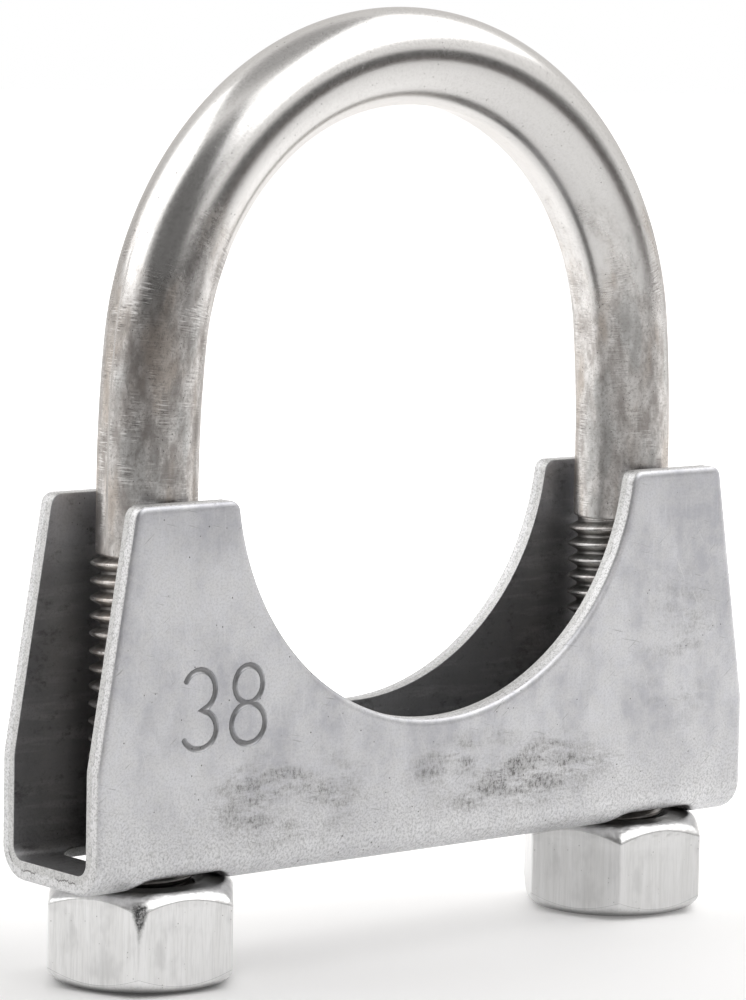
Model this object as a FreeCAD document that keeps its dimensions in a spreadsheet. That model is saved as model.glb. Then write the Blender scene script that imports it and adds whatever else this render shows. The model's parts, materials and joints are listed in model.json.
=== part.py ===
import FreeCAD, Part
import math
import os
import Sketcher

# Saddle clamp for a round pipe, in millimetres: a U-bolt, a folded saddle and two hexagon nuts.
# X runs along the saddle, Y along the pipe, Z up the legs of the U-bolt.
# The origin is midway between the legs, in the plane of the two nuts' lower faces.

V = FreeCAD.Vector

SIZES = {
    # pipe that the clamp closes on
    "pipe_diameter": 38.1,
    # saddle: one folded strip
    "sheet_thickness": 1.5,
    "channel_width": 11.6,
    "bend_radius": 2.5,
    "saddle_length": 62.0,
    "saddle_height": 27.2,
    "straight_end_height": 8.9,
    "tab_span": 55.8,
    "tab_corner_radius": 0.9,
    "kink_radius": 3.0,
    "pipe_axis_height": 29.15,
    # holes in the saddle's base, which run up into both bends
    "hole_length": 8.8,
    "hole_edge_angle": 43.0,
    "hole_corner_radius": 1.6,
    # U-bolt: round rod, bent, with rolled threads
    "rod_diameter": 7.2,
    "leg_spacing": 45.7,
    "seat_depth": 0.2,
    "arch_axis_height": 35.7,
    "blend_angle": 6.0,
    "thread_top": 23.1,
    "rod_end_inset": 0.6,
    "rod_end_chamfer": 0.7,
    # thread, M8 x 1.25
    "thread_pitch": 1.25,
    "crest_radius": 3.95,
    "root_radius": 3.22,
    "crest_flat": 0.17,
    "flank_angle": 30.0,
    "thread_clearance": 0.08,
    "nut_minor_radius": 3.38,
    # nuts
    "nut_flats": 13.0,
    "nut_height": 7.2,
    "nut_face_diameter": 11.6,
    "nut_chamfer_angle": 30.0,
    "nut_countersink_diameter": 8.6,
    "nut_turn": 52.0,
}

LEG_SIDE = {"left": -1, "right": 1}
# Angle about each leg, from +X, at which its thread's crest starts one pitch below the nuts
THREAD_START = {"left": 253.4, "right": 327.4}

RIDGE_OVERLAP = 0.15    # how far a thread's ridge is sunk into the rod's core
TOOL_MARGIN = 2.0       # how far a cutting tool runs past what it cuts
POINT_TOLERANCE = 0.05  # for finding an edge by its position


def make_sheet(doc):
    """The driving dimensions, one row each: name, value."""
    sheet = doc.addObject("Spreadsheet::Sheet", "params")
    for row, (name, value) in enumerate(SIZES.items(), start=1):
        sheet.set(f"A{row}", name)
        sheet.set(f"B{row}", str(value))
        sheet.setAlias(f"B{row}", name)
    doc.recompute()
    return sheet


def bind(item, **rules):
    """Bind an object's properties to the sheet. A double underscore stands for a dot."""
    for name, rule in rules.items():
        item.setExpression(name.replace("__", "."), rule)
    return item


def origin_plane(body, role):
    return next(plane for plane in body.Origin.OriginFeatures if plane.Role == role)


def add_sketch(body, name, role):
    sketch = body.newObject("Sketcher::SketchObject", name)
    sketch.AttachmentSupport = (origin_plane(body, role), "")
    sketch.MapMode = "FlatFace"
    return sketch


def bound_constraint(sketch, name, rule, *constraint):
    index = sketch.addConstraint(Sketcher.Constraint(*constraint))
    sketch.renameConstraint(index, name)
    sketch.setExpression("Constraints." + name, rule)


def closed_outline(sketch, corners):
    """Draw a closed outline and fix each corner by the sheet. A corner is (x, y, x rule, y rule,
    arc), where arc is None before a straight run, or (middle point, radius rule)."""
    places = [V(x, y, 0) for x, y, *_ in corners]
    ends = []
    for i, corner in enumerate(corners):
        start = places[i]
        finish = places[(i + 1) % len(places)]
        arc = corner[4]
        run = Part.LineSegment(start, finish) if arc is None else Part.Arc(start, arc[0], finish)
        edge = sketch.addGeometry(run, False)
        forward = (sketch.getPoint(edge, 1) - start).Length < POINT_TOLERANCE / 10
        ends.append((1, 2) if forward else (2, 1))
    for i in range(len(corners)):
        after = (i + 1) % len(corners)
        sketch.addConstraint(
            Sketcher.Constraint("Coincident", i, ends[i][1], after, ends[after][0]))
    for i, (x, y, x_rule, y_rule, arc) in enumerate(corners):
        bound_constraint(sketch, f"corner_{i}_x", x_rule, "DistanceX", i, ends[i][0], x)
        bound_constraint(sketch, f"corner_{i}_y", y_rule, "DistanceY", i, ends[i][0], y)
        if arc is not None:
            radius = sketch.Geometry[i].Radius
            bound_constraint(sketch, f"radius_{i}", arc[1], "Radius", i, radius)
    return sketch


def edges_through(shape, points, along):
    """Names of the edges that run along one axis through the given points."""
    names = []
    for index, edge in enumerate(shape.Edges, start=1):
        first, last = edge.Vertexes[0].Point, edge.Vertexes[-1].Point
        run = last - first
        if run.Length < POINT_TOLERANCE or abs(abs(run.normalize().dot(along)) - 1) > 1e-3:
            continue
        for point in points:
            offset = first - point
            if (offset - along * offset.dot(along)).Length < POINT_TOLERANCE:
                names.append(f"Edge{index}")
    return names


def channel_blank(doc, size):
    """The strip folded into a U section, before its outline is cut."""
    body = doc.addObject("PartDesign::Body", "channel_blank")
    half = size("channel_width") / 2
    height = size("saddle_height")
    outer = size("bend_radius")
    thick = size("sheet_thickness")
    inner = outer - thick
    flat = half - outer
    diagonal = math.sqrt(0.5)
    half_rule = "params.channel_width / 2"
    flat_rule = f"({half_rule} - params.bend_radius)"
    inside_rule = f"({half_rule} - params.sheet_thickness)"
    inner_radius_rule = "params.bend_radius - params.sheet_thickness"

    def bend_middle(side, radius):
        return V(side * (flat + radius * diagonal), outer - radius * diagonal, 0)

    section = closed_outline(add_sketch(body, "channel_section", "YZ_Plane"), [
        (-half, height, f"-{half_rule}", "params.saddle_height", None),
        (-half, outer, f"-{half_rule}", "params.bend_radius",
         (bend_middle(-1, outer), "params.bend_radius")),
        (-flat, 0, f"-{flat_rule}", "0", None),
        (flat, 0, flat_rule, "0", (bend_middle(1, outer), "params.bend_radius")),
        (half, outer, half_rule, "params.bend_radius", None),
        (half, height, half_rule, "params.saddle_height", None),
        (half - thick, height, inside_rule, "params.saddle_height", None),
        (half - thick, outer, inside_rule, "params.bend_radius",
         (bend_middle(1, inner), inner_radius_rule)),
        (flat, thick, flat_rule, "params.sheet_thickness", None),
        (-flat, thick, f"-{flat_rule}", "params.sheet_thickness",
         (bend_middle(-1, inner), inner_radius_rule)),
        (thick - half, outer, f"-{inside_rule}", "params.bend_radius", None),
        (thick - half, height, f"-{inside_rule}", "params.saddle_height", None),
    ])
    pad = body.newObject("PartDesign::Pad", "channel_length")
    pad.Profile = section
    pad.Midplane = True
    bind(pad, Length="params.saddle_length")
    return body


def saddle_outline(doc, size):
    """A thick plate with the saddle's side outline: sloped ends, two tabs and the pipe's seat."""
    body = doc.addObject("PartDesign::Body", "saddle_outline")
    end = size("saddle_length") / 2
    tab = size("tab_span") / 2
    top = size("saddle_height")
    kink = size("straight_end_height")
    radius = size("pipe_diameter") / 2
    axis = size("pipe_axis_height")
    seat = math.sqrt(radius ** 2 - (axis - top) ** 2)
    seat_rule = ("sqrt((params.pipe_diameter / 2) ^ 2"
                 " - (params.pipe_axis_height - params.saddle_height) ^ 2)")
    outline = closed_outline(add_sketch(body, "side_outline", "XZ_Plane"), [
        (-end, 0, "-params.saddle_length / 2", "0", None),
        (end, 0, "params.saddle_length / 2", "0", None),
        (end, kink, "params.saddle_length / 2", "params.straight_end_height", None),
        (tab, top, "params.tab_span / 2", "params.saddle_height", None),
        (seat, top, seat_rule, "params.saddle_height",
         (V(0, axis - radius, 0), "params.pipe_diameter / 2")),
        (-seat, top, f"-{seat_rule}", "params.saddle_height", None),
        (-tab, top, "-params.tab_span / 2", "params.saddle_height", None),
        (-end, kink, "-params.saddle_length / 2", "params.straight_end_height", None),
    ])
    pad = body.newObject("PartDesign::Pad", "outline_depth")
    pad.Profile = outline
    pad.Midplane = True
    bind(pad, Length="params.channel_width * 2")
    doc.recompute()
    across = V(0, 1, 0)
    corners = [V(side * x, 0, top) for side in (-1, 1) for x in (tab, seat)]
    rounded = body.newObject("PartDesign::Fillet", "tab_corners")
    rounded.Base = (pad, edges_through(pad.Shape, corners, across))
    bind(rounded, Radius="params.tab_corner_radius")
    doc.recompute()
    kinks = [V(side * end, 0, kink) for side in (-1, 1)]
    softened = body.newObject("PartDesign::Fillet", "end_kinks")
    softened.Base = (rounded, edges_through(rounded.Shape, kinks, across))
    bind(softened, Radius="params.kink_radius")
    return body


def base_hole_tool(doc, size, side):
    """Cutter for one base hole. Its long walls lie on planes through the bends' centre lines,
    like the edge of a hole that was punched in the flat strip before folding."""
    tool = doc.addObject("Part::Wedge", "hole_wedge_" + side)
    depth = f"(params.bend_radius + {TOOL_MARGIN})"
    flat = "(params.channel_width / 2 - params.bend_radius)"
    spread = f"({flat} + {depth} * tan(params.hole_edge_angle))"
    bind(tool,
         Xmin="-params.hole_length / 2", Xmax="params.hole_length / 2",
         X2min="-params.hole_length / 2", X2max="params.hole_length / 2",
         Ymin="0", Ymax=depth,
         Zmin="-" + spread, Zmax=spread,
         Z2min="-" + flat, Z2max=flat)
    # the wedge's height runs along its own Y, so it is turned upright
    tool.Placement.Rotation = FreeCAD.Rotation(V(1, 0, 0), 90)
    bind(tool,
         Placement__Base__x=f"{LEG_SIDE[side]} * params.leg_spacing / 2",
         Placement__Base__z=f"params.nut_height - {TOOL_MARGIN}")
    doc.recompute()
    corner = size("hole_corner_radius")
    slanted = []
    for index, edge in enumerate(tool.Shape.Edges, start=1):
        run = edge.Vertexes[-1].Point - edge.Vertexes[0].Point
        if min(abs(run.y), abs(run.z)) > POINT_TOLERANCE:
            slanted.append((index, corner, corner))
    rounded = doc.addObject("Part::Fillet", "hole_cutter_" + side)
    rounded.Base = tool
    rounded.Edges = slanted
    return rounded


def make_saddle(doc, size):
    channel = channel_blank(doc, size)
    outline = saddle_outline(doc, size)
    for body in (channel, outline):
        bind(body, Placement__Base__z="params.nut_height")
    trimmed = doc.addObject("Part::Common", "saddle_trimmed")
    trimmed.Base = channel
    trimmed.Tool = outline
    cutters = doc.addObject("Part::MultiFuse", "hole_cutters")
    cutters.Shapes = [base_hole_tool(doc, size, side) for side in LEG_SIDE]
    saddle = doc.addObject("Part::Cut", "saddle")
    saddle.Base = trimmed
    saddle.Tool = cutters
    return saddle


ARCH_RADIUS = "(params.pipe_diameter / 2 + params.rod_diameter / 2 - params.seat_depth)"
BLEND_RADIUS = (f"((params.leg_spacing / 2 - {ARCH_RADIUS} * cos(params.blend_angle))"
                " / (1 - cos(params.blend_angle)))")
ARCH_AXIS = "(params.nut_height + params.arch_axis_height)"
BLEND_AXIS = f"({ARCH_AXIS} - ({BLEND_RADIUS} - {ARCH_RADIUS}) * sin(params.blend_angle))"
THREAD_TOP = "(params.nut_height + params.thread_top)"


def bent_run(doc, name, radius, sweep, centre_x, centre_z, turn):
    """Round rod bent in the XZ plane, starting turn degrees above +X."""
    run = doc.addObject("Part::Torus", name)
    bind(run, Radius1=radius, Radius2="params.rod_diameter / 2", Angle3=sweep)
    upright = FreeCAD.Rotation(V(1, 0, 0), 90)
    run.Placement.Rotation = upright.multiply(FreeCAD.Rotation(V(0, 0, 1), turn))
    return bind(run, Placement__Base__x=centre_x, Placement__Base__z=centre_z)


def straight_shank(doc, side):
    """The plain leg between its thread and the bend."""
    leg = doc.addObject("Part::Cylinder", "shank_" + side)
    bind(leg, Radius="params.rod_diameter / 2", Height=f"{BLEND_AXIS} - {THREAD_TOP}")
    return bind(leg,
                Placement__Base__x=f"{LEG_SIDE[side]} * params.leg_spacing / 2",
                Placement__Base__z=THREAD_TOP)


def bent_rod(doc, size):
    """The plain part of the rod: an arch, two long blends and two straight shanks, with the
    inside of the arch pressed to the pipe's radius."""
    blend = size("blend_angle")
    offset = f"(params.leg_spacing / 2 - {BLEND_RADIUS})"
    runs = [
        bent_run(doc, "arch", ARCH_RADIUS, "180 - 2 * params.blend_angle", "0", ARCH_AXIS, blend),
        bent_run(doc, "blend_right", BLEND_RADIUS, "params.blend_angle", offset, BLEND_AXIS, 0),
        bent_run(doc, "blend_left", BLEND_RADIUS, "params.blend_angle", "-" + offset, BLEND_AXIS,
                 180 - blend),
    ]
    whole = doc.addObject("Part::MultiFuse", "plain_rod")
    whole.Shapes = runs + [straight_shank(doc, side) for side in LEG_SIDE]
    whole.Refine = True
    press = doc.addObject("Part::Cylinder", "seat_press")
    bind(press, Radius="params.pipe_diameter / 2", Height="params.rod_diameter * 2",
         Placement__Base__y="params.rod_diameter", Placement__Base__z=ARCH_AXIS)
    press.Placement.Rotation = FreeCAD.Rotation(V(1, 0, 0), 90)
    seated = doc.addObject("Part::Cut", "seated_rod")
    seated.Base = whole
    seated.Tool = press
    return seated


def thread_sweep(doc, name, side, outer, inner, clearance, turns):
    """One leg's thread form, a trapezoid, swept up a right-hand helix from one pitch below
    the nut. outer and inner are the form's radii and clearance widens both its flanks."""
    crest = "params.crest_radius"
    widths = {}
    for end, radius in (("outer", outer), ("inner", inner)):
        widths[end] = (f"(params.crest_flat / 2 + {clearance}"
                       f" + ({crest} - {radius}) * tan(params.flank_angle))")
    sketch = doc.addObject("Sketcher::SketchObject", name + "_form")
    value = {rule: float(sketch.evalExpression(rule)) for rule in (outer, inner, *widths.values())}
    closed_outline(sketch, [
        (value[inner], -value[widths["inner"]], inner, "-" + widths["inner"], None),
        (value[outer], -value[widths["outer"]], outer, "-" + widths["outer"], None),
        (value[outer], value[widths["outer"]], outer, widths["outer"], None),
        (value[inner], value[widths["inner"]], inner, widths["inner"], None),
    ])
    helix = doc.addObject("Part::Helix", name + "_helix")
    helix.SegmentLength = 1.0
    bind(helix, Pitch="params.thread_pitch", Height=f"{turns} * params.thread_pitch", Radius=inner)
    turned = FreeCAD.Rotation(V(0, 0, 1), THREAD_START[side])
    helix.Placement.Rotation = turned
    sketch.Placement.Rotation = turned.multiply(FreeCAD.Rotation(V(1, 0, 0), 90))
    for item in (helix, sketch):
        bind(item,
             Placement__Base__x=f"{LEG_SIDE[side]} * params.leg_spacing / 2",
             Placement__Base__z="-params.thread_pitch")
    doc.recompute()
    sweep = doc.addObject("Part::Sweep", name)
    sweep.Sections = [sketch]
    sweep.Spine = (helix, [f"Edge{i + 1}" for i in range(len(helix.Shape.Edges))])
    sweep.Solid = True
    sweep.Frenet = True
    return sweep


def threaded_leg(doc, size, side):
    """One leg's thread: a core with a helical ridge, trimmed to length, its end chamfered."""
    place = {"Placement__Base__x": f"{LEG_SIDE[side]} * params.leg_spacing / 2"}
    core = doc.addObject("Part::Cylinder", "thread_core_" + side)
    bind(core, Radius="params.root_radius", Height=THREAD_TOP, **place)
    turns = math.ceil((size("nut_height") + size("thread_top")) / size("thread_pitch")) + 2
    ridge = thread_sweep(doc, "thread_ridge_" + side, side, "params.crest_radius",
                         f"(params.root_radius - {RIDGE_OVERLAP})", "0", turns)
    whole = doc.addObject("Part::MultiFuse", "thread_untrimmed_" + side)
    whole.Shapes = [core, ridge]
    end = "params.rod_end_inset"
    funnel = doc.addObject("Part::Cone", "thread_end_" + side)
    bind(funnel, Radius1="params.crest_radius - params.rod_end_chamfer",
         Radius2="params.crest_radius + params.rod_end_chamfer",
         Height="2 * params.rod_end_chamfer", Placement__Base__z=end, **place)
    sleeve = doc.addObject("Part::Cylinder", "thread_sleeve_" + side)
    start = f"({end} + 2 * params.rod_end_chamfer)"
    bind(sleeve, Radius="params.crest_radius + params.rod_end_chamfer",
         Height=f"{THREAD_TOP} - {start}", Placement__Base__z=start, **place)
    envelope = doc.addObject("Part::MultiFuse", "thread_envelope_" + side)
    envelope.Shapes = [funnel, sleeve]
    trimmed = doc.addObject("Part::Common", "thread_" + side)
    trimmed.Base = whole
    trimmed.Tool = envelope
    return trimmed


def make_u_bolt(doc, size):
    bolt = doc.addObject("Part::MultiFuse", "u_bolt")
    bolt.Shapes = [bent_rod(doc, size)] + [threaded_leg(doc, size, side) for side in LEG_SIDE]
    return bolt


def nut_blank(doc, size, side, place):
    """A hexagon with both its faces chamfered to a circle."""
    hexagon = doc.addObject("Part::Prism", "nut_hexagon_" + side)
    hexagon.Polygon = 6
    hexagon.Placement.Rotation = FreeCAD.Rotation(V(0, 0, 1), size("nut_turn"))
    bind(hexagon, Circumradius="params.nut_flats / sqrt(3)", Height="params.nut_height", **place)
    face = "params.nut_face_diameter / 2"
    wide = f"({face} + params.nut_height / tan(params.nut_chamfer_angle))"
    blank = doc.addObject("Part::MultiCommon", "nut_blank_" + side)
    cones = []
    for end, low, high in (("lower", face, wide), ("upper", wide, face)):
        cone = doc.addObject("Part::Cone", f"nut_{end}_chamfer_{side}")
        cones.append(bind(cone, Radius1=low, Radius2=high, Height="params.nut_height", **place))
    blank.Shapes = [hexagon] + cones
    return blank


def nut_bore(doc, side, place):
    """The drilled hole, countersunk at both faces."""
    drill = doc.addObject("Part::Cylinder", "nut_drill_" + side)
    bind(drill, Radius="params.nut_minor_radius",
         Height=f"params.nut_height + 2 * {TOOL_MARGIN}",
         Placement__Base__z=f"-{TOOL_MARGIN}", **place)
    wide = "params.nut_countersink_diameter / 2"
    depth = f"(({wide} - params.root_radius) * tan(params.nut_chamfer_angle))"
    sinks = []
    for end, low, high, height in (
            ("lower", wide, "params.root_radius", "0"),
            ("upper", "params.root_radius", wide, f"params.nut_height - {depth}")):
        sink = doc.addObject("Part::Cone", f"nut_{end}_sink_{side}")
        sinks.append(bind(sink, Radius1=low, Radius2=high, Height=depth,
                          Placement__Base__z=height, **place))
    bore = doc.addObject("Part::MultiFuse", "nut_bore_" + side)
    bore.Shapes = [drill] + sinks
    return bore


def make_nut(doc, size, side):
    place = {"Placement__Base__x": f"{LEG_SIDE[side]} * params.leg_spacing / 2"}
    bored = doc.addObject("Part::Cut", "nut_bored_" + side)
    bored.Base = nut_blank(doc, size, side, place)
    bored.Tool = nut_bore(doc, side, place)
    turns = math.ceil(size("nut_height") / size("thread_pitch")) + 2
    groove = thread_sweep(doc, "nut_groove_" + side, side,
                          "(params.crest_radius + params.thread_clearance)",
                          f"(params.nut_minor_radius - {RIDGE_OVERLAP})",
                          "params.thread_clearance", turns)
    nut = doc.addObject("Part::Cut", "nut_" + side)
    nut.Base = bored
    nut.Tool = groove
    return nut


def check_document(doc, nodes):
    """Stop before anything is written if an object failed or a piece isn't one valid solid."""
    for item in doc.Objects:
        if "Invalid" in item.State or "Error" in item.State:
            raise RuntimeError(f"{item.Name} did not compute: {item.State}")
    for node in nodes:
        shape = node.Shape
        if shape.isNull() or not shape.isValid() or len(shape.Solids) != 1:
            raise RuntimeError(f"{node.Label} is not one valid solid")
        box = shape.BoundBox
        print(f"{node.Label}: {shape.Volume:.1f} mm3, X {box.XMin:.2f} {box.XMax:.2f},"
              f" Y {box.YMin:.2f} {box.YMax:.2f}, Z {box.ZMin:.2f} {box.ZMax:.2f}")


def main():
    doc = FreeCAD.newDocument("saddle_clamp")
    sheet = make_sheet(doc)

    def size(name):
        return float(getattr(sheet, name))

    nodes = [make_saddle(doc, size), make_u_bolt(doc, size)]
    nodes += [make_nut(doc, size, side) for side in LEG_SIDE]
    doc.recompute()
    check_document(doc, nodes)
    os.makedirs("parts", exist_ok=True)
    for node in nodes:
        node.Shape.exportStep(f"parts/{node.Label}.step")


main()
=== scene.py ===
import json
import math

import bmesh
import bpy
import numpy as np
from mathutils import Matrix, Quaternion, Vector


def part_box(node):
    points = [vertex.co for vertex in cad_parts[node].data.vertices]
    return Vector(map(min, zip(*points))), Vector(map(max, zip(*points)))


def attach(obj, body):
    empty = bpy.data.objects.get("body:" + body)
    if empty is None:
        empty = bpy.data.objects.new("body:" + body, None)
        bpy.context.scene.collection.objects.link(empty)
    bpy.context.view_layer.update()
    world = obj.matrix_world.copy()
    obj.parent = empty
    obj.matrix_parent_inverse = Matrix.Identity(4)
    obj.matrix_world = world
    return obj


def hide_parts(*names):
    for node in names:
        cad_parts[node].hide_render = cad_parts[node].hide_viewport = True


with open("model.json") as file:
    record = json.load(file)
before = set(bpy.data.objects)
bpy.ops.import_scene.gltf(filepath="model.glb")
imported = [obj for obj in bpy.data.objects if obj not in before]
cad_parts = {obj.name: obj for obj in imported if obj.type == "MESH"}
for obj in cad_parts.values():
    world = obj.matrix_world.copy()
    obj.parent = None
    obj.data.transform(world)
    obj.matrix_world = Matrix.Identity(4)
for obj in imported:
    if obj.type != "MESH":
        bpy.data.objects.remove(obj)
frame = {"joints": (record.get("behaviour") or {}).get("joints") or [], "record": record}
bpy.context.view_layer.update()

# Shapes below are worked out in millimetres and turned into metres when a mesh is made.
MM = 0.001
# vertices nearer than this, in metres, are one
MERGE_DISTANCE = 1.5e-6


def node_box(name):
    low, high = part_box(name)
    return np.array(low) / MM, np.array(high) / MM


SADDLE_LOW, SADDLE_HIGH = node_box("saddle")
NUT_LOW, NUT_HIGH = node_box("nut_left")
JOINTS = {joint["name"]: joint for joint in frame["joints"]}
PIPE = next(mount for mount in frame["record"]["mounts"] if mount["name"] == "pipe")
LEG_X = JOINTS["nut_right_spin"]["pos_m"][0] / MM
SIDES = {"left": -1, "right": 1}

# saddle
BASE_Z = SADDLE_LOW[2]
END_X = SADDLE_HIGH[0]
TAB_Z = SADDLE_HIGH[2]
HALF_WIDTH = SADDLE_HIGH[1]
SHEET = 1.5
BEND_OUTER = 2.5
KINK_Z = BASE_Z + 8.9
KINK_RADIUS = 3.0
TAB_X = 27.9
TAB_RADIUS = 0.9
PIPE_RADIUS = PIPE["dims"]["r_mm"]
PIPE_Z = PIPE["pos_m"][2] / MM
HOLE_HALF_LENGTH = 4.4
HOLE_EDGE_ANGLE = math.radians(43.0)
HOLE_RADIUS = 1.6

# rod, with the seat that the press leaves inside its arch
ROD_RADIUS = 3.6
SEAT_DEPTH = 0.2
ARCH_RADIUS = PIPE_RADIUS + ROD_RADIUS - SEAT_DEPTH
ARCH_Z = BASE_Z + 35.7
BLEND_ANGLE = math.radians(6.0)
BLEND_RADIUS = (LEG_X - ARCH_RADIUS * math.cos(BLEND_ANGLE)) / (1 - math.cos(BLEND_ANGLE))
BLEND_Z = ARCH_Z - (BLEND_RADIUS - ARCH_RADIUS) * math.sin(BLEND_ANGLE)
THREAD_TOP = BASE_Z + 23.1
ROD_END_Z = 0.6
ROD_END_CHAMFER = 0.7
ROD_COLUMNS = 96

# thread, M8 x 1.25
PITCH = 1.25
CREST_RADIUS = 3.95
ROOT_RADIUS = 3.22
THREAD_START = {"left": math.radians(253.4), "right": math.radians(327.4)}

# nuts
NUT_HEIGHT = NUT_HIGH[2] - NUT_LOW[2]
NUT_HALF_FLATS = 6.5
NUT_FACE_RADIUS = 5.8
NUT_CHAMFER = math.radians(30.0)
NUT_SINK_RADIUS = 4.3
NUT_MINOR_RADIUS = 3.38
NUT_MAJOR_RADIUS = 4.03
NUT_GAP = 0.1
NUT_CORNER_RADIUS = 0.3
NUT_TURN = math.radians(52.0)


# -------- mesh helpers

def new_object(name, data):
    piece = bpy.data.objects.new(name, data)
    bpy.context.scene.collection.objects.link(piece)
    return piece


def mesh_object(name, points, faces):
    mesh = bpy.data.meshes.new(name)
    mesh.from_pydata([tuple(point) for point in np.asarray(points) * MM], [], faces)
    return new_object(name, mesh)


def clean_mesh(piece):
    """Merge coincident vertices, drop collapsed faces, close the ends, face normals outwards."""
    data = bmesh.new()
    data.from_mesh(piece.data)
    bmesh.ops.remove_doubles(data, verts=data.verts, dist=MERGE_DISTANCE)
    bmesh.ops.dissolve_degenerate(data, edges=data.edges, dist=MERGE_DISTANCE)
    loops = [edge for edge in data.edges if edge.is_boundary]
    if loops:
        bmesh.ops.holes_fill(data, edges=loops)
    bmesh.ops.recalc_face_normals(data, faces=data.faces)
    data.to_mesh(piece.data)
    data.free()
    piece.data.shade_smooth()


def weighted_normals(piece):
    modifier = piece.modifiers.new("weighted_normals", "WEIGHTED_NORMAL")
    modifier.weight = 80
    modifier.keep_sharp = True


def ring_faces(rows, columns):
    """Quads between successive closed rings of vertices."""
    faces = []
    for row in range(rows - 1):
        for column in range(columns):
            after = (column + 1) % columns
            a = row * columns + column
            b = row * columns + after
            faces.append((a, b, b + columns, a + columns))
    return faces


def vector_attribute(piece, name, values):
    layer = piece.data.attributes.new(name, "FLOAT_VECTOR", "POINT")
    layer.data.foreach_set("vector", np.asarray(values, np.float32).ravel())


def coordinates(piece):
    points = np.zeros(len(piece.data.vertices) * 3)
    piece.data.vertices.foreach_get("co", points)
    return points.reshape(-1, 3) / MM


# -------- threads

# share of a pitch from the crest's middle, share of the height from root to crest
THREAD_FORM = [
    (0.00, 1.00), (0.045, 0.995), (0.085, 0.955), (0.125, 0.85), (0.21, 0.59),
    (0.31, 0.28), (0.38, 0.09), (0.43, 0.015), (0.50, 0.00),
]


def thread_height(phase):
    """Height of the thread's form, 0 at the root and 1 at the crest, by share of a pitch."""
    away = np.abs((phase + 0.5) % 1.0 - 0.5)
    shares, heights = zip(*THREAD_FORM)
    return np.interp(away, shares, heights)


def thread_surface(low, high, start, angles, radius_rule):
    """A threaded wall between two heights: points on rows that climb with the helix, and quads."""
    shares = [share for share, _ in THREAD_FORM]
    steps = shares + [1 - share for share in shares[-2:0:-1]]
    turns = range(int(low // PITCH) - 2, int(high // PITCH) + 3)
    levels = np.array([(turn + step) * PITCH for turn in turns for step in steps])
    lead = ((angles - start) % (2 * np.pi)) / (2 * np.pi)
    heights = np.clip(levels[:, None] + lead[None, :] * PITCH, low, high)
    radii = radius_rule(heights, thread_height(heights / PITCH - lead[None, :]))
    points = np.stack([radii * np.cos(angles), radii * np.sin(angles), heights], -1)
    rows, columns = heights.shape
    seam = int(np.argmin(lead))
    faces = []
    for row in range(rows - 1):
        for column in range(columns):
            after = (column + 1) % columns
            # past the seam the helix goes on one pitch higher up
            shift = len(steps) if after == seam else 0
            if row + 1 + shift >= rows:
                continue
            quad = [(row, column), (row + shift, after),
                    (row + 1 + shift, after), (row + 1, column)]
            tall = [heights[corner] for corner in quad]
            if max(tall) - min(tall) > 1e-9:
                faces.append(tuple(r * columns + c for r, c in quad))
    return points.reshape(-1, 3), faces


def join_shells(shells):
    """Several (points, faces) as one."""
    points, faces, count = [], [], 0
    for shell_points, shell_faces in shells:
        points.append(shell_points)
        faces += [tuple(index + count for index in face) for face in shell_faces]
        count += len(shell_points)
    return np.concatenate(points), faces


# -------- the U-bolt

# the pressed seat: its turn about the rod, where it starts and is at its full depth, its soft edge
COIN_TURN = math.radians(-5.5)
COIN_TIP_Z = BASE_Z + 32.0
COIN_FULL_Z = BASE_Z + 34.8
COIN_SOFTNESS = 0.012
# the rounded rim under the plain shank: radius, height above the thread
RIM_HEIGHT = 0.35
RIM_SECTION = [(ROOT_RADIUS, 0.0), (ROD_RADIUS - 0.16, 0.0), (ROD_RADIUS - 0.05, 0.05),
               (ROD_RADIUS - 0.01, 0.15), (ROD_RADIUS, RIM_HEIGHT)]
RUN_OUT = 0.45
# the shallow dimple in a leg's end: radius, height above the end
DIMPLE_SECTION = [(2.4, 0.0), (1.2, 0.04), (0.3, 0.07)]


def bolt_path():
    """Stations up the right leg, over the arch and down the left one: x, z, direction."""
    stations = []
    for z in np.linspace(THREAD_TOP + RIM_HEIGHT, BLEND_Z, 10, endpoint=False):
        stations.append((LEG_X, z, math.pi / 2))
    offset = LEG_X - BLEND_RADIUS
    for angle in np.linspace(0, BLEND_ANGLE, 22, endpoint=False):
        stations.append((offset + BLEND_RADIUS * math.cos(angle),
                         BLEND_Z + BLEND_RADIUS * math.sin(angle), angle + math.pi / 2))
    for angle in np.linspace(BLEND_ANGLE, math.pi / 2, 76):
        stations.append((ARCH_RADIUS * math.cos(angle),
                         ARCH_Z + ARCH_RADIUS * math.sin(angle), angle + math.pi / 2))
    mirrored = [(-x, z, 2 * math.pi - turn) for x, z, turn in stations[-2::-1]]
    return stations + mirrored


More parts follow.
